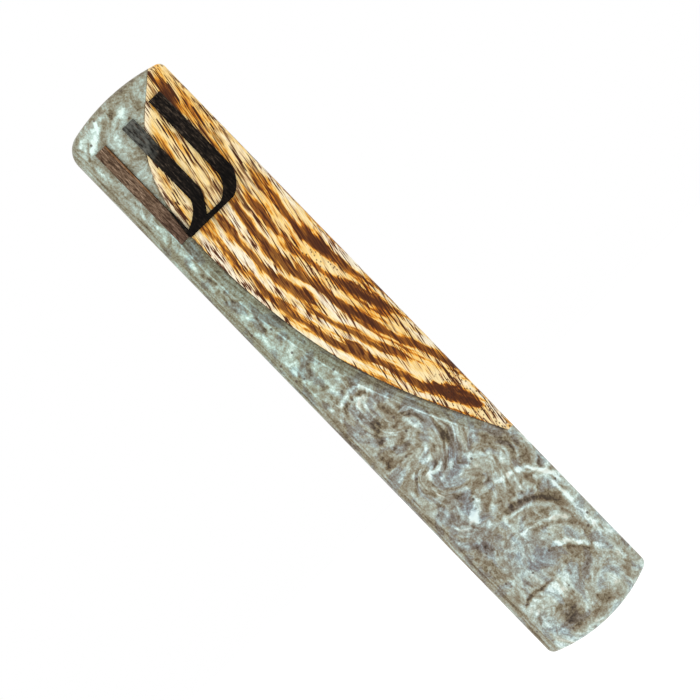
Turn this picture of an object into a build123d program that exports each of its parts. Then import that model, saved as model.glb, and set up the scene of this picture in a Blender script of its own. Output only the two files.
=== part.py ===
from build123d import *
import math
import os

os.makedirs("parts", exist_ok=True)

# A mezuzah case of wood set in pearl resin, hung upright on a doorpost.
# +Z runs up the case and +X to the right as seen from the room; the room is on the -Y side.
# The origin is on the wall, at the middle of the adhesive strip. Sizes are in millimetres.
# A "depth" is a distance from the wall towards the room, so depth d is the plane y = -d.

# ---- Case ----
CASE_LENGTH = 150.0
CASE_WIDTH = 27.5
CASE_BACK = 0.9  # depth of the case's back, which stands clear of the wall
CASE_FRONT = 17.6  # depth of the crown's ridge
CROWN_RADIUS = 28.0  # the front is a shallow barrel that runs along the case
TOP_END_RADIUS = 47.0  # both ends are shallow arcs
BOTTOM_END_RADIUS = 36.0
CORNER_RADIUS = 1.8
TOP_LEFT_RADIUS = 4.8  # this corner is sanded rounder than the others
FRONT_ROUNDING = 1.6
BACK_CHAMFER = 0.5
OVERCUT = 1.0  # a cutting shape reaches this far past what it cuts

# ---- Mounting plate, a dovetail tongue that the case slides down onto ----
PLATE_BACK = 0.4
PLATE_FRONT = 3.4
PLATE_HALF_WIDTH = 8.5  # at its back, where it is narrowest
DOVETAIL_SLOPE = 0.6  # growth of the half width per millimetre of depth
PLATE_ROUND_Z = 52.0  # centre of the plate's round top end
PLATE_END_GAP = 0.6  # the plate stops this far short of the case's lower end
GROOVE_CLEARANCE = 0.17
GROOVE_FLOOR = 3.5

SCREW_SPACING = 64.0
SCREW_HOLE_RADIUS = 1.75
SCREW_HEAD_RADIUS = 3.4
SCREW_HEAD_ANGLE = 90.0

# ---- Adhesive strip, let into the plate's back ----
STRIP_WIDTH = 12.0
STRIP_LENGTH = 54.0
STRIP_THICKNESS = 1.0
STRIP_CORNER = 2.0
STRIP_GAP = 0.2

# ---- Scroll chamber, opening into the groove ----
CHAMBER_WIDTH = 12.5
CHAMBER_LENGTH = 112.0
CHAMBER_BOTTOM_Z = -58.0
CHAMBER_DEPTH = 10.0
CHAMBER_CORNER = 1.5

# ---- Scroll: a 100 mm sheet of parchment rolled up in a film sleeve ----
SHEET_HEIGHT = 100.0
SHEET_THICKNESS = 0.3
ROLL_PITCH = 0.5
ROLL_CORE_RADIUS = 1.7
ROLL_HALF_TURNS = 11
SCROLL_DEPTH = GROOVE_FLOOR + CHAMBER_DEPTH / 2
SLEEVE_INNER_RADIUS = 4.45
SLEEVE_WALL = 0.15
SLEEVE_LENGTH = 103.0
SLEEVE_BOTTOM_Z = CHAMBER_BOTTOM_Z + 0.1

# ---- Letter shin: three uprights let into the crown and standing proud of it ----
LETTER_PROUD = 0.9
LETTER_LET_IN = 1.2
LETTER_ROUNDING = 0.3
LETTER_TOP = 68.3
LETTER_BOTTOM = 42.1
FOOT_Z = 42.5  # the left arm's foot, a step above the base's underside
BASE_TOP = 43.3
BASE_END_Z = 43.7  # top of the base at its left end
LEFT_ARM_X = (-9.7, -6.6)
MIDDLE_ARM_X = (-1.85, 1.35)
RIGHT_ARM_X = (6.1, 9.3)
RIGHT_ARM_TOP = 68.6
SPUR_TIP_Z = 49.2  # the base runs up beside the left arm to here
SPUR_GAP = 0.15  # width of the spur at its tip
SPUR_FOOT_X = -7.4
BASE_START_X = SPUR_FOOT_X + 0.4  # left end of the base's underside
SPUR_END_X = LEFT_ARM_X[1] + SPUR_GAP

# The letter's bends, as control points from each upright down to the base: (x, z)
RIGHT_OUTER_BEND = [(9.3, 47.4), (9.3, 45.8), (7.2, 42.5), (4.9, LETTER_BOTTOM)]
RIGHT_INNER_BEND = [(6.1, 48.2), (6.1, 46.4), (4.6, 44.2), (2.4, BASE_TOP)]
MIDDLE_OUTER_BEND = [(1.35, 48.8), (1.35, 47.2), (0.0, 45.2), (-1.5, BASE_TOP)]
MIDDLE_INNER_BEND = [(-1.85, 48.2), (-1.85, 46.6), (-4.0, 44.6), (SPUR_END_X, BASE_END_Z)]

# The wood's live edge, from above the top end down to where it leaves the right side: (x, z)
LIVE_EDGE = [
    (13.0, 76.0),
    (9.0, 72.0),
    (1.8, 65.3),
    (-2.5, 59.8),
    (-6.2, 49.4),
    (-7.1, 37.5),
    (-5.9, 20.2),
    (-2.6, 2.7),
    (3.0, -13.1),
    (9.3, -26.5),
    (12.3, -32.5),
]


def wall_plane(depth):
    """The plane at this depth, with X to the right, Z up and its normal towards the room."""
    return Plane.XZ.offset(depth)


def end_arc_z(x, radius, reach):
    """Height of an end arc at x, where reach is its height at the middle."""
    return reach - radius + math.sqrt(radius**2 - x**2)


def plate_half_width(depth):
    """Half the dovetail's width at a depth; behind the case's back its sides are straight."""
    return PLATE_HALF_WIDTH + DOVETAIL_SLOPE * max(0.0, depth - CASE_BACK)


def dovetail(back, front, grow, bottom):
    """A dovetail tongue from z = bottom up to its round top end, grown sideways by grow."""
    section = [
        (0, -back),
        (plate_half_width(back) + grow, -back),
        (plate_half_width(CASE_BACK) + grow, -CASE_BACK),
        (plate_half_width(front) + grow, -front),
        (0, -front),
    ]
    round_end = Axis((0, 0, PLATE_ROUND_Z), (0, 1, 0))
    with BuildPart() as tongue:
        with BuildSketch(Plane.XY.offset(bottom)):
            with BuildLine():
                Polyline(*section)
                mirror(about=Plane.YZ)
            make_face()
        extrude(amount=PLATE_ROUND_Z - bottom)
        with BuildSketch(Plane.XY.offset(PLATE_ROUND_Z)):
            with BuildLine():
                Polyline(*section, close=True)
            make_face()
        revolve(axis=round_end)
    return tongue.part


def letter_piece(outline, rounding):
    """Extrude a flat outline, keep the layer of it that follows the crown, and soften its edges."""
    with BuildPart() as piece:
        with BuildSketch(wall_plane(CASE_FRONT - CROWN_RADIUS / 2)):
            add(outline)
        extrude(amount=CROWN_RADIUS)
        with BuildSketch(Plane.XY.offset(LETTER_BOTTOM - OVERCUT)):
            with Locations((0, CROWN_RADIUS - CASE_FRONT)):
                Circle(CROWN_RADIUS + LETTER_PROUD)
                Circle(CROWN_RADIUS - LETTER_LET_IN, mode=Mode.SUBTRACT)
        extrude(amount=CASE_LENGTH / 2 - LETTER_BOTTOM, mode=Mode.INTERSECT)
        if rounding:
            front_face = piece.faces().filter_by(GeomType.CYLINDER).sort_by(Axis.Y)[0]
            fillet(front_face.outer_wire().edges(), radius=rounding)
    return piece.part


# ---- The letter's two pieces ----
left_x0, left_x1 = LEFT_ARM_X
mid_x0, mid_x1 = MIDDLE_ARM_X
right_x0, right_x1 = RIGHT_ARM_X

with BuildSketch() as left_arm_outline:
    with BuildLine():
        Polyline(
            (left_x0, FOOT_Z),
            (left_x0, LETTER_TOP),
            (left_x1, LETTER_TOP),
            (left_x1, SPUR_TIP_Z),
            (SPUR_FOOT_X, FOOT_Z),
            close=True,
        )
    make_face()

# The middle and right arms sweep down to the left into one thin base.
spur_share = (SPUR_TIP_Z - BASE_END_Z) / (SPUR_TIP_Z - FOOT_Z)
base_end_x = left_x1 + (SPUR_FOOT_X - left_x1) * spur_share

with BuildSketch() as double_arm_outline:
    with BuildLine():
        Polyline(
            (SPUR_END_X, BASE_END_Z),
            (base_end_x, BASE_END_Z),
            (SPUR_FOOT_X, FOOT_Z),
            (BASE_START_X, LETTER_BOTTOM),
            RIGHT_OUTER_BEND[-1],
        )
        Bezier(*RIGHT_OUTER_BEND)
        Polyline(
            RIGHT_OUTER_BEND[0],
            (right_x1, RIGHT_ARM_TOP),
            (right_x0, RIGHT_ARM_TOP),
            RIGHT_INNER_BEND[0],
        )
        Bezier(*RIGHT_INNER_BEND)
        Line(RIGHT_INNER_BEND[-1], MIDDLE_OUTER_BEND[-1])
        Bezier(*MIDDLE_OUTER_BEND)
        Polyline(
            MIDDLE_OUTER_BEND[0],
            (mid_x1, LETTER_TOP),
            (mid_x0, LETTER_TOP),
            MIDDLE_INNER_BEND[0],
        )
        Bezier(*MIDDLE_INNER_BEND)
    make_face()

# The base ends in a thin spur that climbs beside the left arm.
with BuildSketch() as spur_outline:
    with BuildLine():
        Polyline(
            (base_end_x, BASE_END_Z),
            (left_x1, SPUR_TIP_Z),
            (SPUR_END_X, SPUR_TIP_Z),
            (SPUR_END_X, BASE_END_Z),
            (SPUR_END_X, FOOT_Z + LETTER_ROUNDING),
            (SPUR_FOOT_X + LETTER_ROUNDING, FOOT_Z + LETTER_ROUNDING),
            close=True,
        )
    make_face()

with BuildPart() as shin_left_arm:
    add(letter_piece(left_arm_outline.sketch, LETTER_ROUNDING))
shin_left_arm.part.label = "shin_left_arm"

with BuildPart() as shin_double_arm:
    add(letter_piece(double_arm_outline.sketch, LETTER_ROUNDING))
    add(letter_piece(spur_outline.sketch, 0))
shin_double_arm.part.label = "shin_double_arm"

# ---- The case as one solid: crowned block, letter pockets, dovetail groove, scroll chamber ----
half_width = CASE_WIDTH / 2
half_length = CASE_LENGTH / 2
top_z = end_arc_z(half_width, TOP_END_RADIUS, half_length)
bottom_z = -end_arc_z(half_width, BOTTOM_END_RADIUS, half_length)

with BuildPart() as case_block:
    with BuildSketch(wall_plane(CASE_BACK)) as plan:
        with BuildLine():
            Line((half_width, bottom_z), (half_width, top_z))
            ThreePointArc((half_width, top_z), (0, half_length), (-half_width, top_z))
            Line((-half_width, top_z), (-half_width, bottom_z))
            ThreePointArc((-half_width, bottom_z), (0, -half_length), (half_width, bottom_z))
        make_face()
        corner_radii = {
            (half_width, top_z): CORNER_RADIUS,
            (half_width, bottom_z): CORNER_RADIUS,
            (-half_width, bottom_z): CORNER_RADIUS,
            (-half_width, top_z): TOP_LEFT_RADIUS,
        }
        for corner, radius in corner_radii.items():
            fillet(plan.vertices().sort_by_distance(corner)[0], radius=radius)
    extrude(amount=CASE_FRONT - CASE_BACK)
    with BuildSketch(Plane.XY.offset(-CASE_LENGTH)):
        with Locations((0, CROWN_RADIUS - CASE_FRONT)):
            Circle(CROWN_RADIUS)
    extrude(amount=2 * CASE_LENGTH, mode=Mode.INTERSECT)
    crown = case_block.faces().filter_by(GeomType.CYLINDER).sort_by(SortBy.AREA)[-1]
    fillet(crown.outer_wire().edges(), radius=FRONT_ROUNDING)
    back = case_block.faces().sort_by(Axis.Y)[-1]
    chamfer(back.outer_wire().edges(), length=BACK_CHAMFER)

    add(shin_left_arm.part, mode=Mode.SUBTRACT)
    add(shin_double_arm.part, mode=Mode.SUBTRACT)
    add(dovetail(0, GROOVE_FLOOR, GROOVE_CLEARANCE, -CASE_LENGTH), mode=Mode.SUBTRACT)
    with BuildSketch(wall_plane(CASE_BACK)):
        with Locations((0, CHAMBER_BOTTOM_Z + CHAMBER_LENGTH / 2)):
            RectangleRounded(CHAMBER_WIDTH, CHAMBER_LENGTH, CHAMBER_CORNER)
    extrude(amount=GROOVE_FLOOR + CHAMBER_DEPTH - CASE_BACK, mode=Mode.SUBTRACT)

# ---- Wood on the right of its live edge, resin cast against it ----
with BuildPart() as wood_side:
    with BuildSketch(wall_plane(-OVERCUT)):
        with BuildLine():
            Spline(*LIVE_EDGE)
            Polyline(
                LIVE_EDGE[-1],
                (CASE_WIDTH, LIVE_EDGE[-1][1]),
                (CASE_WIDTH, LIVE_EDGE[0][1]),
                LIVE_EDGE[0],
            )
        make_face()
    extrude(amount=CASE_FRONT + 2 * OVERCUT)

with BuildPart() as wood_blank:
    add(case_block.part)
    add(wood_side.part, mode=Mode.INTERSECT)
wood_blank.part.label = "wood_blank"

with BuildPart() as resin_casting:
    add(case_block.part)
    add(wood_side.part, mode=Mode.SUBTRACT)
resin_casting.part.label = "resin_casting"

# ---- Mounting plate ----
with BuildPart() as mounting_plate:
    add(dovetail(PLATE_BACK, PLATE_FRONT, 0, -CASE_LENGTH))
    plate_reach = half_length - PLATE_END_GAP
    side_z = end_arc_z(half_width, BOTTOM_END_RADIUS, plate_reach)
    with BuildSketch(wall_plane(-OVERCUT)):
        with BuildLine():
            ThreePointArc((-half_width, -side_z), (0, -plate_reach), (half_width, -side_z))
            Polyline(
                (half_width, -side_z),
                (half_width, half_length),
                (-half_width, half_length),
                (-half_width, -side_z),
            )
        make_face()
    extrude(amount=CASE_FRONT, mode=Mode.INTERSECT)
    with BuildSketch(wall_plane(PLATE_BACK)):
        RectangleRounded(
            STRIP_WIDTH + 2 * STRIP_GAP, STRIP_LENGTH + 2 * STRIP_GAP, STRIP_CORNER + STRIP_GAP
        )
    extrude(amount=STRIP_THICKNESS - PLATE_BACK, mode=Mode.SUBTRACT)
    with Locations(wall_plane(PLATE_FRONT)):
        with GridLocations(0, SCREW_SPACING, 1, 2):
            CounterSinkHole(
                SCREW_HOLE_RADIUS, SCREW_HEAD_RADIUS, counter_sink_angle=SCREW_HEAD_ANGLE
            )
mounting_plate.part.label = "mounting_plate"

# ---- Adhesive strip ----
with BuildPart() as adhesive_strip:
    with BuildSketch(wall_plane(0)):
        RectangleRounded(STRIP_WIDTH, STRIP_LENGTH, STRIP_CORNER)
    extrude(amount=STRIP_THICKNESS)
adhesive_strip.part.label = "adhesive_strip"

# ---- Parchment: half-turn arcs about two centres, each wider by half the roll's pitch ----
sheet_bottom_z = SLEEVE_BOTTOM_Z + (SLEEVE_LENGTH - SHEET_HEIGHT) / 2

with BuildPart() as parchment_scroll:
    with BuildSketch(Plane((0, -SCROLL_DEPTH, sheet_bottom_z))):
        with BuildLine():
            for half_turn in range(ROLL_HALF_TURNS):
                centre = (ROLL_PITCH / 2 if half_turn % 2 else 0, 0)
                radius = ROLL_CORE_RADIUS + half_turn * ROLL_PITCH / 2
                for side in (-1, 1):
                    CenterArc(centre, radius + side * SHEET_THICKNESS / 2, 180 * half_turn, 180)
            half_thickness = SHEET_THICKNESS / 2
            first_x = ROLL_CORE_RADIUS
            last_x = -(ROLL_CORE_RADIUS + (ROLL_HALF_TURNS - 1) * ROLL_PITCH / 2)
            for end_x in (first_x, last_x):
                Line((end_x - half_thickness, 0), (end_x + half_thickness, 0))
        make_face()
    extrude(amount=SHEET_HEIGHT)
parchment_scroll.part.label = "parchment_scroll"

# ---- Film sleeve around the parchment ----
with BuildPart() as scroll_sleeve:
    with BuildSketch(Plane((0, -SCROLL_DEPTH, SLEEVE_BOTTOM_Z))):
        Circle(SLEEVE_INNER_RADIUS + SLEEVE_WALL)
        Circle(SLEEVE_INNER_RADIUS, mode=Mode.SUBTRACT)
    extrude(amount=SLEEVE_LENGTH)
scroll_sleeve.part.label = "scroll_sleeve"

export_step(shin_left_arm.part, "parts/shin_left_arm.step")
export_step(shin_double_arm.part, "parts/shin_double_arm.step")
export_step(wood_blank.part, "parts/wood_blank.step")
export_step(resin_casting.part, "parts/resin_casting.step")
export_step(mounting_plate.part, "parts/mounting_plate.step")
export_step(adhesive_strip.part, "parts/adhesive_strip.step")
export_step(parchment_scroll.part, "parts/parchment_scroll.step")
export_step(scroll_sleeve.part, "parts/scroll_sleeve.step")
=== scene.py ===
"""Looks of a mezuzah case: pearl resin beside zebra-grained wood, with a raised letter in dark wood.

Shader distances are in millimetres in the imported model's frame: x across the case, y towards the
wall, z up. Scene objects are in metres.
"""

import math

import bpy
from mathutils import Matrix, Vector


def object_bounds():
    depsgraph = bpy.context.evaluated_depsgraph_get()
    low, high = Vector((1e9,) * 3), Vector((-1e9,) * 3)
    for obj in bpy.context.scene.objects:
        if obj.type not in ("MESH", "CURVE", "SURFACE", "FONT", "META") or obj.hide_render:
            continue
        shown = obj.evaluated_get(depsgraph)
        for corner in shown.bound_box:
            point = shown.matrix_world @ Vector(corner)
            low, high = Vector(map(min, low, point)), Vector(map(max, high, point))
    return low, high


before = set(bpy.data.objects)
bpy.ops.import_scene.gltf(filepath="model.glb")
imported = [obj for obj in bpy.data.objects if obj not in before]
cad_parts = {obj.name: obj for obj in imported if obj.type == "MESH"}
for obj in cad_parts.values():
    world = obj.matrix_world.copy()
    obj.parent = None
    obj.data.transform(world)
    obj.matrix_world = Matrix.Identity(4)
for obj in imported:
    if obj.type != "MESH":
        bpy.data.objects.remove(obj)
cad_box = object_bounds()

MM = 0.001

# The case, in millimetres
HALF_WIDTH = 13.75
HALF_LENGTH = 75.0
FRONT_Y = -16.0  # the middle of the crowned face
FACE_EDGE_Y = -13.2  # the crowned face ends here and the sides begin
TOP_END_BEND = 1 / (2 * 47.0)  # an end drops by its bend times x squared, along an arc of that radius
BOTTOM_END_BEND = 1 / (2 * 36.0)
TIP_Z = -32.5  # the wood's lower tip

# The line where the resin meets the wood, and the run of the wood's growth bands, as (z, x)
SEAM = [
    (TIP_Z, 12.3),
    (-26.5, 9.3),
    (-13.1, 3.0),
    (2.7, -2.6),
    (20.2, -5.9),
    (37.5, -7.1),
    (49.4, -6.2),
    (59.8, -2.5),
    (65.3, 1.8),
    (72.0, 9.0),
    (76.0, 13.0),
]
BANDS = [
    (TIP_Z, 12.0),
    (-26.5, 9.2),
    (-13.0, 3.0),
    (2.7, -2.6),
    (14.0, -5.6),
    (26.0, -7.4),
    (35.0, -7.2),
    (45.0, -5.4),
    (60.0, -1.8),
    (76.0, 2.6),
]

LIT = 1.3  # the lights make a painted surface this much brighter than its own colour
NOISE_STEPS = (7.31, 3.97, 5.53)  # how far one seed's noise lies from the next
CELL_STEPS = (2.17, 1.39, 4.61)
CELL_MIDDLE = 0.45  # the usual distance from a spot to the middle of its cell, in cells
PATCH_DEPTH = 7.0  # a patch reaches this far in from the face
PATCH_SOFTNESS = 0.45
STROKE_FADE = 1.7  # a stroke has faded out at this many half widths from its line
STROKE_TAPER = 0.6  # it is at full strength over this share of its length
ENDLESS = 1000.0


def linear(colour):
    """Shader colour that looks like this 0..255 screen colour under the scene's lights."""
    shares = [c / 255 for c in colour]
    # The standard sRGB screen curve
    bright = [s / 12.92 if s <= 0.04045 else ((s + 0.055) / 1.055) ** 2.4 for s in shares]
    return [b / LIT for b in bright] + [1.0]


class Wire:
    """What a node gives out over the surface. Arithmetic on it adds Math nodes."""

    def __init__(self, graph, socket):
        self.graph = graph
        self.socket = socket

    def __add__(self, other):
        return self.graph.math("ADD", self, other)

    def __sub__(self, other):
        return self.graph.math("SUBTRACT", self, other)

    def __rsub__(self, other):
        return self.graph.math("SUBTRACT", other, self)

    def __mul__(self, other):
        return self.graph.math("MULTIPLY", self, other)

    def __truediv__(self, other):
        return self.graph.math("DIVIDE", self, other)

    def __abs__(self):
        return self.graph.math("ABSOLUTE", self)

    __radd__ = __add__
    __rmul__ = __mul__

    def swing(self, amount):
        """Noise, which lies about 0.5, as a change to and fro about 0."""
        return (self - 0.5) * amount

    def step_between(self, low, high, start, end):
        """start below low and end above high, smooth between."""
        return self.graph.step(self, low, high, start, end)

    def rise(self, low, high):
        """0 below low and 1 above high, smooth between."""
        return self.graph.step(self, low, high, 0.0, 1.0)

    def fall(self, low, high):
        """1 below low and 0 above high, smooth between."""
        return self.graph.step(self, low, high, 1.0, 0.0)


class Graph:
    """A material, and short calls that add nodes to it."""

    def __init__(self, name):
        self.material = bpy.data.materials.new(name)
        self.material.use_nodes = True
        self.tree = self.material.node_tree
        self.tree.nodes.clear()
        output = self.tree.nodes.new("ShaderNodeOutputMaterial")
        self.shader = self.tree.nodes.new("ShaderNodeBsdfPrincipled")
        self.tree.links.new(self.shader.outputs["BSDF"], output.inputs["Surface"])
        metres = Wire(self, self.tree.nodes.new("ShaderNodeTexCoord").outputs["Object"])
        self.point = self.vector("SCALE", metres, Scale=1 / MM)
        self.x, self.y, self.z = self.split(self.point)

    def add(self, kind, inputs, output=0, **settings):
        """Adds a node, sets or links its inputs, and gives back one of its outputs."""
        node = self.tree.nodes.new("ShaderNode" + kind)
        for key, value in settings.items():
            setattr(node, key, value)
        self.feed(node, inputs)
        return Wire(self, node.outputs[output])

    def feed(self, node, inputs):
        """Links each input that has a wire, and sets the others."""
        for key, value in inputs.items():
            if isinstance(value, Wire):
                self.tree.links.new(value.socket, node.inputs[key])
            else:
                node.inputs[key].default_value = value

    def math(self, operation, *values):
        return self.add("Math", dict(enumerate(values)), operation=operation)

    def vector(self, operation, *values, **inputs):
        wanted = "Value" if operation == "LENGTH" else 0
        return self.add(
            "VectorMath", {**dict(enumerate(values)), **inputs}, wanted, operation=operation
        )

    def split(self, vector):
        node = self.add("SeparateXYZ", {0: vector}).socket.node
        return [Wire(self, out) for out in node.outputs]

    def join(self, x, y, z):
        return self.add("CombineXYZ", {0: x, 1: y, 2: z})

    def step(self, value, low, high, start, end):
        inputs = {"Value": value, 1: low, 2: high, 3: start, 4: end}
        return self.add("MapRange", inputs, interpolation_type="SMOOTHSTEP")

    def curve(self, value, points):
        """A smooth curve through the points, read at value."""
        first, last = points[0][0], points[-1][0]
        low = min(y for _, y in points)
        high = max(y for _, y in points)
        inside = (value - first) / (last - first)
        found = self.add("FloatCurve", {"Value": inside})
        mapping = found.socket.node.mapping
        spots = mapping.curves[0].points
        for index, (x, y) in enumerate(points):
            place = ((x - first) / (last - first), (y - low) / (high - low))
            if index == 0:
                spots[0].location = place
            elif index == len(points) - 1:
                spots[len(spots) - 1].location = place
            else:
                spots.new(*place)
        mapping.update()
        return found * (high - low) + low

    def noise(self, point, size, detail=2.0, roughness=0.5, seed=0, output=0):
        """Noise with blobs about size mm across, where size is one number or one per axis."""
        sizes = size if isinstance(size, tuple) else (size,) * 3
        shares = [1 / s for s in sizes]
        shift = [seed * step for step in NOISE_STEPS]
        spot = self.vector("MULTIPLY_ADD", point, shares, shift)
        inputs = {"Vector": spot, "Scale": 1.0, "Detail": detail, "Roughness": roughness}
        return self.add("TexNoise", inputs, output)

    def warp(self, point, size, amount, seed, detail=1.0):
        """The point moved up to about amount mm by noise of that size."""
        push = self.noise(point, size, detail=detail, seed=seed, output=1)
        amounts = amount if isinstance(amount, tuple) else (amount,) * 3
        doubled = [2 * a for a in amounts]
        back = [-a for a in amounts]
        return self.vector("ADD", point, self.vector("MULTIPLY_ADD", push, doubled, back))

    def cells(self, point, size, seed, flat=False):
        """Cells about size mm across: how far the cell's middle is, and a number of its own."""
        sizes = size if isinstance(size, tuple) else (size,) * 3
        shift = [seed * step for step in CELL_STEPS]
        spot = self.vector("MULTIPLY_ADD", point, [1 / s for s in sizes], shift)
        kind = "2D" if flat else "3D"
        away = self.add("TexVoronoi", {"Vector": spot, "Scale": 1.0}, voronoi_dimensions=kind)
        own = self.split(Wire(self, away.socket.node.outputs["Color"]))[0]
        return away, own

    def dots(self, point, size, reach, share, seed, flat=False):
        """Round dots of radius reach, one per cell of that size, in the given share of cells."""
        away, own = self.cells(point, size, seed, flat)
        return away.fall(0.6 * reach, reach) * self.math("LESS_THAN", own, share)

    def stir(self, point, x, z, reach, turn):
        """The point twisted about (x, z) by that many degrees, less and less beyond reach mm."""
        inputs = {"Vector": point, "Location": (x, 0.0, z), "Scale": (reach, ENDLESS, reach)}
        away = self.vector("LENGTH", self.add("Mapping", inputs, vector_type="TEXTURE"))
        share = self.math("EXPONENT", away * away * -1.0)
        inputs = {"Vector": point, "Center": (x, 0.0, z), "Angle": share * math.radians(turn)}
        return self.add("VectorRotate", inputs, rotation_type="Y_AXIS")

    def patch(self, point, x, z, across, along, lean):
        """1 inside an oval near the front at (x, z) that leans by that many degrees, else 0."""
        inputs = {
            "Vector": point,
            "Location": (x, FRONT_Y, z),
            "Rotation": (0.0, math.radians(lean), 0.0),
            "Scale": (across, PATCH_DEPTH, along),
        }
        away = self.vector("LENGTH", self.add("Mapping", inputs, vector_type="TEXTURE"))
        return away.fall(1 - PATCH_SOFTNESS, 1 + PATCH_SOFTNESS)

    def stroke(self, point, x, z, radius, width, start, end):
        """1 on a line round (x, z), from start to end degrees counted from +x towards +z.

        width is half the line's width. The line is on the face only.
        """
        px, _, pz = self.split(self.vector("SUBTRACT", point, (x, 0.0, z)))
        away = self.vector("LENGTH", self.join(px, 0.0, pz))
        middle, half = math.radians((start + end) / 2), math.radians((end - start) / 2)
        along = (px * math.cos(middle) + pz * math.sin(middle)) / away
        inside = along.rise(math.cos(half), math.cos(half * STROKE_TAPER))
        on_face = self.y.fall(FACE_EDGE_Y + 0.2, FACE_EDGE_Y + 4.2)
        return abs(away - radius).fall(0.0, width * STROKE_FADE) * inside * on_face

    def ramp(self, value, stops):
        """The colour at value along stops of (position, screen colour)."""
        found = self.add("ValToRGB", {"Fac": value})
        elements = found.socket.node.color_ramp.elements
        while len(elements) < len(stops):
            elements.new(0.5)
        for element, (position, colour) in zip(elements, stops):
            element.position = position
            element.color = linear(colour)
        return found

    def mix(self, share, first, second, blend="MIX"):
        """first where share is 0 and second where it is 1."""
        ends = [c if isinstance(c, Wire) else linear(c) for c in (first, second)]
        inputs = {0: share, 6: ends[0], 7: ends[1]}
        return self.add("Mix", inputs, 2, data_type="RGBA", blend_type=blend)

    def tint(self, share, colour, kept):
        """The colour with these shares of its red, green and blue, where share is 1."""
        inputs = {0: share, 6: colour, 7: (*kept, 1.0)}
        return self.add("Mix", inputs, 2, data_type="RGBA", blend_type="MULTIPLY")

    def finish(self, colour, roughness, height, depth, **plain):
        """Feeds the shader: colour, roughness, bumps depth mm high, and plain values."""
        inputs = {"Base Color": colour, "Roughness": roughness}
        if height is not None:
            bump = {"Height": height, "Distance": depth * MM, "Strength": 1.0}
            inputs["Normal"] = self.add("Bump", bump)
        for key, value in plain.items():
            inputs[key.replace("_", " ")] = value
        self.feed(self.shader, inputs)
        return self.material


# ---- Pearl resin ----

# Where the resin was stirred: x, z, reach, degrees of turn
STIRS = [
    (-1.5, -15.5, 6.5, 60),
    (-5.0, -27.0, 5.0, -60),
    (3.0, -32.0, 6.0, 50),
    (-8.0, -66.0, 5.0, -60),
    (4.0, -70.0, 4.0, 60),
    (-2.5, 64.0, 5.0, 70),
    (-7.0, 52.0, 4.0, -60),
]
# Eddies that the fine streaks run round: x, z, radius
EDDIES = [(-0.5, -56.5, 16.0), (-5.8, -8.6, 6.5)]
# Patches of another tone: x, z, half width, half height, lean in degrees, change
RESIN_PATCHES = [
    (-2.4, -63.5, 4.4, 2.2, 0, 0.2),
    (-9.4, -68.0, 1.5, 4.5, -8, 0.16),
    (-4.6, -69.5, 1.9, 3.0, 20, -0.2),
    (1.5, -71.0, 2.6, 1.4, 0, -0.16),
    (6.3, -70.5, 1.6, 1.6, 0, 0.24),
    (11.2, -67.0, 1.2, 1.8, 0, 0.2),
    (6.0, -63.0, 2.4, 3.2, 30, -0.14),
    (7.6, -48.5, 2.2, 4.0, -35, -0.16),
    (-3.0, -54.0, 4.0, 4.5, 0, 0.06),
    (-10.5, -50.0, 1.2, 6.0, 0, -0.1),
    (-5.0, -31.0, 3.0, 3.5, 0, 0.06),
    (-7.5, -13.5, 1.3, 3.5, 20, -0.22),
    (2.0, -25.5, 1.0, 3.0, 0, -0.2),
    (8.0, -36.0, 2.0, 2.0, 0, 0.14),
    (-1.2, 72.0, 1.1, 0.9, 0, -0.34),
    (-8.6, 70.8, 1.3, 3.6, 60, 0.17),
    (0.5, 70.2, 2.4, 1.0, -20, 0.14),
    (-4.6, 64.0, 1.7, 6.0, 0, 0.14),
    (-11.6, 64.0, 0.9, 3.0, 0, 0.2),
    (-11.5, 50.0, 0.9, 5.0, 0, 0.14),
    (-10.4, 11.0, 1.4, 4.0, 0, 0.12),
]
# Curved strokes: x and z of the centre, radius, half width, start, end, change
STROKES = [
    (1.5, -50.5, 12.2, 0.5, 15, 90, 0.45),
    (-60.0, -53.0, 71.7, 0.5, -8, 8, 0.5),
    (0.0, -55.0, 10.8, 0.6, 20, 110, -0.24),
    (0.0, -55.0, 9.4, 0.5, 30, 105, 0.26),
    (-0.5, -62.0, 12.0, 0.45, 35, 100, 0.28),
    (-0.5, -62.0, 10.8, 0.5, 25, 90, -0.2),
    (-12.0, -77.0, 25.6, 0.5, 30, 58, 0.42),
    (-12.0, -77.0, 24.6, 0.4, 35, 60, -0.22),
    (-6.0, -75.0, 14.2, 0.45, 74, 112, -0.42),
    (-1.0, -55.0, 15.0, 0.5, 95, 150, 0.18),
    (-6.4, -8.4, 4.6, 0.6, 20, 170, 0.34),
    (-6.4, -8.4, 3.4, 0.5, 0, 150, -0.24),
    (-5.6, -8.6, 2.2, 0.5, 30, 200, 0.28),
    (-18.0, -22.0, 21.3, 0.45, 18, 40, 0.4),
    (-12.0, -33.0, 14.0, 0.5, 30, 70, -0.2),
    (-12.0, -20.0, 10.0, 0.5, -60, -10, 0.26),
    (-5.0, 60.0, 13.0, 0.5, 75, 130, 0.24),
    (2.0, 60.0, 15.5, 0.35, 132, 158, -0.4),
    (-4.0, 66.2, 6.2, 0.8, 30, 170, 0.24),
]
MARK_STRENGTH = 1.2
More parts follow.
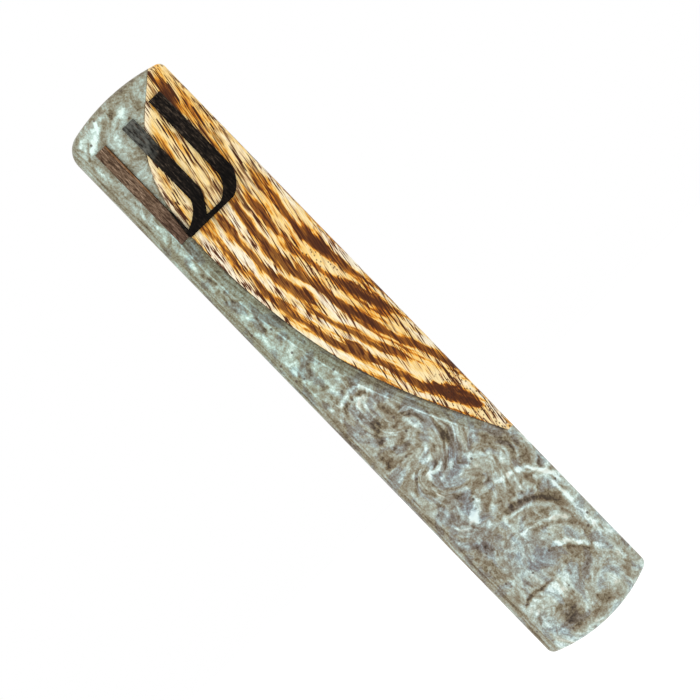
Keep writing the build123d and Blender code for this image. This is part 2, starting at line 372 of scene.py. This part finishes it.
# Cooler patches: x, z, half width, half height, lean in degrees
COOL_PATCHES = [
    (-3.0, -54.0, 5.0, 5.0, 0),
    (-6.5, -41.0, 3.5, 8.0, 10),
    (-9.4, -68.0, 1.6, 4.5, -8),
    (-1.0, -29.0, 4.0, 3.0, 0),
]
SILVER = [
    (0.0, (62, 48, 28)),
    (0.2, (110, 96, 70)),
    (0.38, (143, 135, 112)),
    (0.52, (160, 161, 145)),
    (0.66, (176, 186, 174)),
    (0.82, (200, 219, 210)),
    (1.0, (238, 253, 248)),
]
SEAM_SLANT = 0.9  # the seam runs aslant, so it is this share of the distance along x away


def resin_flow(g, curl):
    """Fine streaks along the swirls and round the eddies."""
    flow = g.noise(curl, (1.5, 2.4, 2.2), detail=1.5, seed=5)
    ripple = g.warp(g.point, 3.0, 0.8, seed=33, detail=2.0)
    for x, z, radius in EDDIES:
        px, py, pz = g.split(g.vector("SUBTRACT", ripple, (x, 0.0, z)))
        away = g.vector("LENGTH", g.join(px, 0.0, pz))
        round_it = g.math("ARCTAN2", px, pz) * (radius * 0.5)
        combed = g.noise(g.join(away, py, round_it), (1.0, 2.0, 4.0), roughness=0.55, seed=5)
        share = away.fall(radius * 0.6, radius) * away.rise(0.5, radius * 0.3)
        flow = flow + (combed - flow) * share
    return flow


def resin_body(g, point, curl, flow, grain):
    """The resin's tone: clouds, painted relief shading on creases, and mica in leaves, flakes and
    grains.
    """
    cloud = g.noise(point, (4.5, 7.0, 6.0), seed=4)
    leaf, leaf_tone = g.cells(curl, (1.2, 2.0, 2.0), seed=1)
    flake, flake_tone = g.cells(curl, (0.6, 1.2, 1.0), seed=2)
    # Painted relief shading: the same noise at two spots 0.45 mm apart, one taken from the other,
    # paints a light side and a dark side on each crease
    folds = [
        g.noise(g.vector("ADD", curl, (shift, 0.0, -shift)), (1.6, 2.4, 2.2), detail=0.5, seed=36)
        for shift in (0.0, 0.45)
    ]
    creases = (folds[0] - folds[1]) * g.z.step_between(-48.0, -42.0, 0.4, 1.0)
    pebble = g.noise(g.point, 0.8, detail=0.0, seed=37)
    lively = 1.0 - g.z.rise(42.0, 52.0) * 0.5 - g.z.fall(-50.0, -44.0) * 0.2
    streaky = flow.swing(0.55) + creases * 0.95 + leaf_tone.swing(0.12) + (CELL_MIDDLE - leaf) * 0.14
    value = cloud.swing(0.8) + streaky * lively + grain.swing(0.6) + pebble.swing(0.35)
    value = value + flake_tone.swing(0.1) + (CELL_MIDDLE - flake) * 0.08 + 0.55
    return value - g.z.rise(44.0, 54.0) * 0.05


def resin_marks(g, value, loose, flow):
    """The tone with the patches and strokes that stand out on the real one."""
    for x, z, wide, long, lean, change in RESIN_PATCHES:
        value = value + g.patch(loose, x, z, wide, long, lean) * (change * MARK_STRENGTH)
    for x, z, radius, width, start, end, change in STROKES:
        mark = g.stroke(loose, x, z, radius, width, start, end) * (change * MARK_STRENGTH)
        value = value + mark * flow.rise(0.2, 0.55)
    return value


def resin_veins(g, point, flow):
    """Thin light and dark veins, where a noise crosses its middle."""
    pale = g.noise(point, (3.6, 4.0, 5.4), seed=7)
    dark = g.noise(point, (3.2, 4.0, 5.0), seed=8)
    pale_vein = abs(pale - 0.5).fall(0.0, 0.05) * flow.rise(0.35, 0.55)
    dark_vein = abs(dark - 0.5).fall(0.0, 0.05) * flow.fall(0.45, 0.65)
    return pale_vein * 0.1 - dark_vein * 0.12


def seam_band(g, value, grain, flow):
    """The tone with a calm band beside the wood, dark at the joint, with a pale line outside it.

    Also gives how much of that band a spot has.
    """
    seam = (g.curve(g.z, SEAM) - g.x) * SEAM_SLANT
    beside = seam.fall(1.2, 3.4) * g.z.fall(40.0, 56.0) * g.z.rise(TIP_Z + 1.5, TIP_Z + 7.5)
    comb = g.noise(g.join(seam, g.y, g.z), (0.6, 2.0, 9.0), seed=10)
    band = comb.swing(0.9) + grain.swing(0.5) + seam.rise(0.0, 2.4) * 0.12 + 0.15
    value = value * (1.0 - beside * 0.75) + beside * band
    value = value - seam.fall(0.1, 0.32) * g.z.rise(TIP_Z - 0.1, TIP_Z + 0.1) * 0.22
    pale_line = abs(seam - 2.6).fall(0.0, 0.3) * beside.rise(0.0, 0.3) * flow.rise(0.3, 0.55)
    return value + pale_line * 0.3, beside


def resin_edges(g, value, grain):
    """The tone with painted light on the rounded edges: painted highlights as pale strips at the
    bottom and right, painted shade as a dark top rim and as a streaky left strip.

    Also gives how much of that left strip a spot has.
    """
    front = g.y.fall(FACE_EDGE_Y - 0.3, FACE_EDGE_Y + 2.2)
    square = g.x * g.x
    # Painted highlights on the rounded bottom and right edges, painted shade on the rounded top rim
    bottom = (square * BOTTOM_END_BEND - g.z).rise(HALF_LENGTH - 2.6, HALF_LENGTH - 0.8)
    right = g.x.rise(12.0, 12.8) * g.z.fall(TIP_Z - 3.5, TIP_Z - 0.5)
    top = (square * TOP_END_BEND + g.z).rise(HALF_LENGTH - 1.8, HALF_LENGTH - 0.4)
    value = value + (bottom * 0.2 + right * 0.15) * front - top * 0.14
    # Painted shade on the rounded left edge, streaked along its length
    left = (g.x + HALF_WIDTH).fall(1.4, 2.4) * front * 0.8
    drawn = g.noise(g.point, (0.5, 2.0, 7.0), seed=38)
    strip = drawn.swing(1.5) + grain.swing(0.6) + 0.4
    return value * (1.0 - left) + left * strip, left


def resin_colour(g, value, point, loose, beside, left):
    """Silver to brown by tone, with warm, green, lilac and cool tints and small bubbles."""
    colour = g.ramp(value, SILVER)
    tone = g.noise(point, (3.0, 3.0, 4.0), seed=9)
    warm = tone.rise(0.52, 0.64) * g.z.step_between(-6.0, 4.0, 0.5, 0.2)
    # The left strip of painted shade gets no warm tint
    colour = g.mix(warm * (1.0 - left), colour, (214, 178, 136), "MULTIPLY")
    green = g.z.rise(-8.0, 4.0) * g.z.step_between(44.0, 54.0, 1.0, 0.5)
    colour = g.tint(green, colour, (0.92, 1.0, 0.97))
    colour = g.tint(beside, colour, (0.86, 0.94, 0.97))
    lilac = tone.fall(0.4, 0.5) * g.z.step_between(40.0, 50.0, 0.6, 0.1)
    colour = g.mix(lilac, colour, (140, 134, 164), "SOFT_LIGHT")
    cool = sum(g.patch(loose, *place) for place in COOL_PATCHES)
    colour = g.mix(cool * 0.55, colour, (140, 130, 156), "SOFT_LIGHT")
    bubbles = g.dots(g.point, 1.9, 0.2, 0.2, seed=4)
    return g.mix(bubbles * 0.8, colour, (78, 60, 46))


def pearl_resin():
    """Cast resin with mica powder: silvery swirls, brown veins and a few bubbles."""
    g = Graph("pearl_resin")
    point = g.warp(g.point, 8.0, 1.6, seed=1)
    for x, z, reach, turn in STIRS:
        point = g.stir(point, x, z, reach, turn)
    point = g.warp(point, 5.0, 1.2, seed=2)
    curl = g.warp(point, 2.2, 0.7, seed=3, detail=0.0)
    loose = g.warp(g.warp(g.point, 4.0, 0.9, seed=31), 1.2, 0.3, seed=32)
    flow = resin_flow(g, curl)
    grain = g.noise(g.point, 0.36, detail=1.0, roughness=0.6, seed=6)
    value = resin_body(g, point, curl, flow, grain)
    value = resin_marks(g, value, loose, flow) + resin_veins(g, point, flow)
    value, beside = seam_band(g, value, grain, flow)
    value, left = resin_edges(g, value, grain)
    colour = resin_colour(g, value, point, loose, beside, left)
    rough = flow * 0.25 + 0.25
    height = flow * 0.6 + grain * 0.4
    shine = {"Coat_Weight": 0.25, "Coat_Roughness": 0.15, "Specular_IOR_Level": 0.2}
    return g.finish(colour, rough, height, 0.06, **shine)


# ---- Zebra-grained wood ----

# Patches of another tone: x, z, half width, half height, lean in degrees, change
WOOD_PATCHES = [
    (11.0, 24.8, 1.2, 4.2, 0, -0.5),
    (10.8, 8.5, 1.9, 5.5, -8, -0.35),
    (6.6, 5.5, 1.4, 7.0, -10, -0.2),
    (9.4, -18.5, 1.2, 6.4, -25, -0.6),
    (13.3, -16.5, 0.9, 4.0, -8, -0.4),
    (10.6, 60.0, 0.8, 12.0, -5, -0.2),
    (9.8, 67.0, 0.9, 4.0, 10, -0.35),
    (11.6, 52.0, 1.0, 9.0, -8, 0.25),
    (12.8, 17.0, 0.8, 6.0, -4, 0.4),
    (12.8, -4.0, 1.1, 6.0, -6, 0.4),
    (7.6, 19.0, 1.2, 5.5, -18, 0.12),
    (9.6, 33.0, 2.6, 7.0, -8, -0.06),
    (8.6, 27.0, 1.6, 2.6, 15, -0.18),
    (8.2, -11.0, 1.5, 5.0, -28, 0.55),
    (7.0, -19.6, 0.9, 5.5, -25, 0.4),
    (12.2, -17.5, 0.8, 5.0, -25, 0.5),
    (12.3, -28.0, 2.0, 3.0, 0, 0.6),
]
WOOD_TONES = [
    (0.0, (92, 50, 18)),
    (0.2, (128, 78, 28)),
    (0.36, (160, 104, 38)),
    (0.48, (214, 138, 38)),
    (0.57, (248, 188, 80)),
    (0.65, (255, 224, 150)),
    (1.0, (255, 245, 216)),
]
BAND_SPACING = 3.7
BANDS_TURN_Y = -14.0  # behind this the bands run aslant through the depth
DARKEST_BAND = 0.27  # only the patches and streaks are darker
FIBRE_SLOPE = math.tan(math.radians(11.0))  # the fibres lean to the right by this much on the face


def wood_figure(g, slope):
    """The growth bands' tone with a painted highlight along the rounded right edge, and how far a
    spot is into the plainer wood round the letter.
    """
    wobble = g.warp(g.point, (4.0, 4.0, 10.0), (0.8, 0.8, 1.5), seed=11)
    x, y, z = g.split(wobble)
    upper = z.rise(36.0, 46.0)
    inward = g.math("MAXIMUM", y - BANDS_TURN_Y, 0.0)
    across = x - g.curve(z, BANDS) + inward * 0.7
    curved = g.join(across, y, z)
    leaning = g.join(x - z * slope + inward * 0.9, y, z)
    sway = g.noise(curved, (4.0, 4.0, 12.0), detail=1.0, seed=12)
    wave = g.math("COSINE", (across + sway.swing(4.0) - 1.2) * (math.tau / BAND_SPACING))
    low = g.noise(curved, (0.9, 2.5, 9.0), detail=3.0, roughness=0.6, seed=13)
    high = g.noise(leaning, (0.9, 2.5, 6.5), detail=3.0, roughness=0.6, seed=13)
    narrow = low + (high - low) * z.rise(12.0, 26.0)
    value = wave * (0.3 - upper * 0.24) + narrow.swing(1.9 - upper * 1.3) + 0.58
    seam = g.x - g.curve(g.z, SEAM)
    value = value + seam.fall(0.6, 2.4) * 0.22 + upper * 0.08
    value = value - g.z.fall(-4.0, 14.0) * 0.12 - upper * g.x.rise(8.0, 10.0) * 0.03
    value = g.math("MAXIMUM", value, DARKEST_BAND)
    ragged = g.warp(wobble, (0.9, 0.9, 2.5), (0.7, 0.7, 1.6), seed=18, detail=2.0)
    for px, pz, wide, long, lean, change in WOOD_PATCHES:
        value = value + g.patch(ragged, px, pz, wide, long, lean) * change
    # Painted highlight: lighter along the rounded right edge
    return value + g.x.rise(12.3, 13.5) * 0.1, upper


def wood_streaks(g, run, value, upper):
    """The dark pores, and the brown halo round the short ones.

    Short pores come in crowds, long ones are near the letter and fine hairs are in the brown bands.
    """
    brown = value.fall(0.36, 0.56)
    crowd = g.noise(run, (1.6, 1.6, 7.0), detail=1.0, seed=16)
    gathered = (crowd + brown * 0.07).rise(0.38, 0.52) * (1.0 - upper * 0.3)
    short_pores = g.noise(run, (0.3, 0.3, 4.5), detail=1.0, seed=15)
    long_pores = g.noise(run, (0.42, 0.42, 9.0), detail=1.0, seed=25)
    hairs = g.noise(run, (0.2, 0.2, 6.0), detail=1.0, seed=20)
    streaks = short_pores.rise(0.54, 0.59) * gathered
    streaks = g.math("MAXIMUM", streaks, long_pores.rise(0.57, 0.6) * upper)
    streaks = g.math("MAXIMUM", streaks, hairs.rise(0.55, 0.61) * (brown * 0.6 + 0.1))
    return streaks, short_pores.rise(0.47, 0.55) * gathered * 0.75


def zebra_wood():
    """Pale wood with golden and dark brown figure, fine dark pores and a clear finish."""
    g = Graph("zebra_wood")
    slope = g.math("LESS_THAN", g.y, FACE_EDGE_Y) * FIBRE_SLOPE
    value, upper = wood_figure(g, slope)
    fibre = g.warp(g.point, (3.0, 3.0, 10.0), (0.25, 0.25, 0.5), seed=14)
    fx, fy, fz = g.split(fibre)
    upright_x = fx - fz * slope
    run = g.join(upright_x, fy - fz * 0.05, fz)
    threads = g.noise(run, (0.3, 0.3, 3.5), roughness=0.6, seed=19)
    value = value + threads.swing(0.6 - upper * 0.25)
    colour = g.ramp(value, WOOD_TONES)
    gold = g.x.rise(3.0, 8.0) * g.x.fall(11.6, 13.0) * g.z.fall(36.0, 46.0)
    gold = gold + g.x.rise(8.0, 10.0) * g.z.rise(44.0, 54.0) * 0.6
    colour = g.tint(gold, colour, (1.0, 0.88, 0.62))
    streaks, halo = wood_streaks(g, run, value, upper)
    colour = g.mix(halo, colour, (206, 132, 62), "MULTIPLY")
    colour = g.mix(streaks, colour, (76, 36, 8))
    fine = g.noise(run, (0.18, 0.18, 2.2), detail=1.0, seed=17)
    colour = g.mix(fine.rise(0.5, 0.66) * 0.28, colour, (160, 100, 50), "MULTIPLY")
    pitted = g.patch(g.point, 8.4, 18.0, 2.4, 9.0, -12) + g.z.fall(-16.0, -11.0)
    pitted = pitted * g.y.fall(FACE_EDGE_Y - 0.4, FACE_EDGE_Y)
    flat = g.join(upright_x, fz, 0.0)
    pits = g.dots(flat, (0.62, 0.95, 1.0), 0.27, 0.55, seed=2, flat=True) * pitted
    colour = g.mix(pits * 0.9, colour, (64, 34, 16))
    rough = 0.45 - value * 0.1 + streaks * 0.2
    height = 1.0 - streaks * 0.7 - fine * 0.2
    shine = {"Coat_Weight": 0.1, "Coat_Roughness": 0.2, "Specular_IOR_Level": 0.1}
    return g.finish(colour, rough, height, 0.04, **shine)


# ---- The other pieces ----

# The letter is one dark wenge: the left arm's brown tones are painted light on its lit face, and the
# black tones are the wood's own dark colour, darkened as painted shade
WENGE_PAINTED_LIT = [(0.0, (48, 34, 24)), (0.35, (86, 66, 50)), (0.65, (122, 100, 80)), (1.0, (166, 140, 118))]
WENGE_PAINTED_SHADED = [(0.0, (8, 6, 5)), (0.4, (18, 14, 11)), (0.7, (40, 33, 27)), (1.0, (84, 72, 60))]
RULED_LINES = 4.2  # spacing of the lines scratched into the parchment
FOAM_CELLS = 2.2  # cells of the foam in a millimetre


def wenge(name, tones, lift):
    """Dark wood with fine upright grain, in tones painted lit or in shade. lift changes the colour
    from place to place.
    """
    g = Graph(name)
    point = g.warp(g.point, (3.0, 3.0, 12.0), (0.1, 0.1, 0.5), seed=21)
    grain = g.noise(point, (0.3, 0.3, 3.0), detail=3.0, roughness=0.65, seed=22)
    flecks = g.noise(point, (0.22, 0.22, 0.9), roughness=0.6, seed=23)
    value = grain.swing(2.2) + flecks.swing(1.5) + 0.48
    colour = lift(g, g.ramp(value, tones))
    rough = 0.62 - grain * 0.2
    height = grain * 0.7 + flecks * 0.3
    return g.finish(colour, rough, height, 0.06, Specular_IOR_Level=0.05)


def brown_lift(g, colour):
    """The bar is greyer low down, and has a golden line beside a dark one along its right side."""
    greyer = g.mix(g.z.fall(44.0, 56.0) * 0.6, colour, (196, 178, 186), "MULTIPLY")
    golden = g.mix(g.x.rise(-7.2, -6.95) * g.z.rise(52.0, 56.0) * 0.35, greyer, (164, 112, 60))
    return g.mix(g.x.rise(-6.86, -6.72) * 0.8, golden, (48, 32, 22))


def black_lift(g, colour):
    """The middle arm's upper part has a painted reflection, grey and broken up by a mottle, and the
    letter's base is blacker.
    """
    reflection_mottle = g.noise(g.point, (0.5, 0.5, 1.4), roughness=0.6, seed=24)
    # Painted reflection: grey screened onto the middle arm's upper part
    place = g.x.fall(1.3, 1.5) * (g.z - g.x).rise(58.0, 64.0)
    grey = g.mix(place * reflection_mottle.rise(0.3, 0.7), colour, (96, 98, 92), "SCREEN")
    return g.mix(g.z.fall(46.0, 53.0) * 0.7, grey, (60, 60, 60), "MULTIPLY")


def plate_plastic():
    """Moulded grey plastic with a fine spark-eroded grain."""
    g = Graph("plate_plastic")
    speck = g.noise(g.point, 0.28, roughness=0.6, seed=31)
    cloud = g.noise(g.point, 12.0, seed=32)
    value = speck.swing(0.5) + cloud.swing(0.4) + 0.5
    colour = g.ramp(value, [(0.0, (78, 80, 82)), (0.5, (92, 94, 96)), (1.0, (108, 110, 112))])
    return g.finish(colour, speck * 0.2 + 0.42, speck, 0.03)


def foam_tape():
    """Grey foam with open cells."""
    g = Graph("foam_tape")
    spot = g.vector("SCALE", g.point, Scale=FOAM_CELLS)
    cells = g.add("TexVoronoi", {"Vector": spot, "Scale": 1.0})
    shade = g.noise(g.point, 4.0, seed=33)
    value = cells * 0.5 + shade * 0.5
    colour = g.ramp(value, [(0.15, (150, 150, 146)), (0.5, (196, 196, 190)), (0.9, (222, 222, 216))])
    return g.finish(colour, shade * 0.1 + 0.85, cells, 0.12)


def parchment():
    """Scraped skin: cream with pale clouds, fine follicle specks and ruled scratches."""
    g = Graph("parchment")
    cloud = g.noise(g.point, 6.0, detail=4.0, roughness=0.6, seed=34)
    specks = g.dots(g.point, 0.9, 0.14, 0.5, seed=3)
    ruled = abs(g.math("FRACT", g.z / RULED_LINES) - 0.5).fall(0.0, 0.03)
    colour = g.ramp(
        cloud, [(0.25, (196, 170, 124)), (0.5, (222, 202, 160)), (0.75, (238, 224, 190))]
    )
    colour = g.mix(specks * 0.35 + ruled * 0.3, colour, (150, 118, 76))
    return g.finish(colour, cloud * 0.2 + 0.6, cloud - ruled * 0.3, 0.05, Sheen_Weight=0.1)


def clear_film():
    """Thin clear film with slight creases."""
    g = Graph("clear_film")
    crease = g.noise(g.point, (1.5, 1.5, 14.0), roughness=0.55, seed=35)
    clear = linear((236, 240, 242))
    return g.finish(clear, crease * 0.12 + 0.1, crease, 0.08, Alpha=0.22)


MATERIALS = {
    "resin_casting": pearl_resin(),
    "wood_blank": zebra_wood(),
    # The left arm is painted lit, the other arms are painted in shade
    "shin_left_arm": wenge("brown_wenge", WENGE_PAINTED_LIT, brown_lift),
    "shin_double_arm": wenge("black_wenge", WENGE_PAINTED_SHADED, black_lift),
    "mounting_plate": plate_plastic(),
    "adhesive_strip": foam_tape(),
    "parchment_scroll": parchment(),
    "scroll_sleeve": clear_film(),
}
for name, material in MATERIALS.items():
    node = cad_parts[name]
    node.data.materials.clear()
    node.data.materials.append(material)


# ---- Camera and studio, in metres ----

UP_ANGLE = math.radians(45.84)  # from +x towards +z: the direction that is up in the picture
CAMERA_DISTANCE = 1.5
PICTURE_WIDTH = 0.14583  # of the case's plane, across the picture
AIM_LEFT = 0.00151  # how far the picture's middle is off the case's middle
AIM_UP = 0.001825
AIM_Y = -0.014
LIGHT_TARGET = Vector((0.0, -0.01, 0.0))
FLOOR_Z = -0.105
FLOOR_HALF_WIDTH = 4.0


def camera():
    """A long lens straight at the case's face, rolled so that the case runs down to the right."""
    low, high = cad_box
    middle = (low + high) / 2
    right = Vector((math.sin(UP_ANGLE), 0.0, -math.cos(UP_ANGLE)))
    up = Vector((math.cos(UP_ANGLE), 0.0, math.sin(UP_ANGLE)))
    back = right.cross(up)
    data = bpy.data.cameras.new("camera")
    data.sensor_width = 36.0
    data.lens = data.sensor_width * CAMERA_DISTANCE / PICTURE_WIDTH
    made = bpy.data.objects.new("camera", data)
    aim = Vector((middle.x, AIM_Y, middle.z)) - right * AIM_LEFT + up * AIM_UP
    place = aim + back * CAMERA_DISTANCE
    made.matrix_world = Matrix.Translation(place) @ Matrix((right, up, back)).transposed().to_4x4()
    bpy.context.scene.collection.objects.link(made)
    bpy.context.scene.camera = made


def softbox(name, place, size, watts):
    """A square area light that faces the case."""
    data = bpy.data.lights.new(name, "AREA")
    data.size = size
    data.energy = watts
    made = bpy.data.objects.new(name, data)
    away = Vector(place) - LIGHT_TARGET
    made.matrix_world = Matrix.Translation(place) @ away.to_track_quat("Z", "Y").to_matrix().to_4x4()
    bpy.context.scene.collection.objects.link(made)


def studio():
    """White surroundings, a pale floor a little below the case, and two soft lights."""
    world = bpy.data.worlds.new("studio")
    world.use_nodes = True
    background = world.node_tree.nodes["Background"]
    background.inputs["Color"].default_value = (1.0, 1.0, 1.0, 1.0)
    background.inputs["Strength"].default_value = 1.0
    bpy.context.scene.world = world
    bpy.context.scene.view_settings.view_transform = "Standard"
    mesh = bpy.data.meshes.new("floor")
    signs = [(-1, -1), (1, -1), (1, 1), (-1, 1)]
    corners = [(x * FLOOR_HALF_WIDTH, y * FLOOR_HALF_WIDTH, FLOOR_Z) for x, y in signs]
    mesh.from_pydata(corners, [], [(0, 1, 2, 3)])
    floor = bpy.data.objects.new("floor", mesh)
    g = Graph("floor_paint")
    cloud = g.noise(g.point, 60.0, detail=3.0, seed=41)
    pale = g.ramp(cloud, [(0.3, (250, 250, 250)), (0.7, (255, 255, 255))])
    glow = {"Emission_Color": (1.0, 1.0, 1.0, 1.0), "Emission_Strength": 0.35}
    mesh.materials.append(g.finish(pale, cloud * 0.1 + 0.6, None, 0.0, **glow))
    bpy.context.scene.collection.objects.link(floor)
    softbox("key_light", (-0.35, -0.75, 0.55), 0.5, 2.6)
    softbox("top_light", (0.3, -0.2, 0.9), 0.8, 2.0)


camera()
studio()
